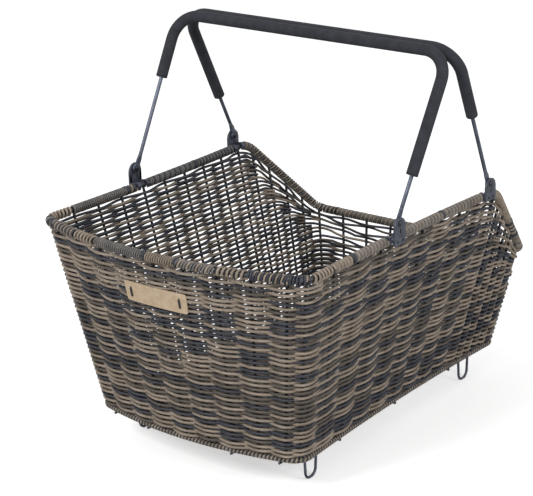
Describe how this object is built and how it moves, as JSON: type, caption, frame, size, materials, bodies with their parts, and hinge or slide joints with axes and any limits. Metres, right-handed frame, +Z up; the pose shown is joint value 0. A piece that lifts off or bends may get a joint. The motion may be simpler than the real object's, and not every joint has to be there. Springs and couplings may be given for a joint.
{
  "type": "bicycle basket",
  "caption": "Woven bicycle carrier basket with a low sloping rear end, two folding bail handles in foam sleeves and wire loops under its base.",
  "frame": {"origin": "centre of the bounding box at the bottom of the wire loops", "axes": "+Z up, +Y towards the low rear end, +X to the right seen from the front, tall end"},
  "size_m": [0.3468, 0.462, 0.411],
  "materials": {
    "steel_wire": "zinc-grey coated wire, satin",
    "black_steel": "black painted, satin",
    "strand": "woven plastic strand, mixed dark grey and beige, matt",
    "dark_strand": "wound plastic strand, dark grey, matt",
    "light_strand": "wound plastic strand, beige, matt",
    "foam": "closed-cell foam sleeve, dark grey, matt",
    "leather": "tan leather, bare"
  },
  "bodies": {
    "basket": {"wire_frame": "black_steel", "handle_bracket_front_right": "black_steel", "handle_bracket_rear_right": "black_steel", "handle_bracket_rear_left": "black_steel", "handle_bracket_front_left": "black_steel", "pivot_rivet_front_right": "black_steel", "pivot_rivet_rear_right": "black_steel", "pivot_rivet_rear_left": "black_steel", "pivot_rivet_front_left": "black_steel", "front_weave": "strand", "right_weave": "strand", "rear_weave": "strand", "left_weave": "strand", "base_weave": "strand", "rim_wrap_front": "dark_strand", "rim_wrap_front_right_corner": "dark_strand", "rim_wrap_right_front": "dark_strand", "rim_wrap_right": "dark_strand", "rim_wrap_rear": "dark_strand", "rim_wrap_left": "dark_strand", "rim_wrap_left_front": "dark_strand", "rim_wrap_front_left_corner": "dark_strand", "patch_tie_left": "dark_strand", "patch_tie_right": "dark_strand", "front_left_binding": "light_strand", "front_right_binding": "light_strand", "right_corner_binding": "light_strand", "left_corner_binding": "light_strand", "base_ring_wrap": "light_strand", "cross_wire_front": "steel_wire", "cross_wire_middle": "steel_wire", "cross_wire_rear": "steel_wire", "long_wire_left": "steel_wire", "long_wire_right": "steel_wire", "loop_rail_left": "steel_wire", "loop_rail_right": "steel_wire", "wire_loop_front_left": "steel_wire", "wire_loop_front_right": "steel_wire", "wire_loop_rear_left": "steel_wire", "wire_loop_rear_right": "steel_wire", "leather_patch": "leather"},
    "front_bail": {"front_handle": "steel_wire", "front_grip": "foam"},
    "rear_bail": {"rear_handle": "steel_wire", "rear_grip": "foam"}
  },
  "joints": [
    {"name": "front_handle_hinge", "type": "hinge", "parent": "basket", "child": "front_bail", "pos_m": [0, -0.05703, 0.25619], "axis": [1, 0, 0], "range_deg": [0, 120]},
    {"name": "rear_handle_hinge", "type": "hinge", "parent": "basket", "child": "rear_bail", "pos_m": [0, 0.10897, 0.25279], "axis": [-1, 0, 0], "range_deg": [0, 130]}
  ]
}
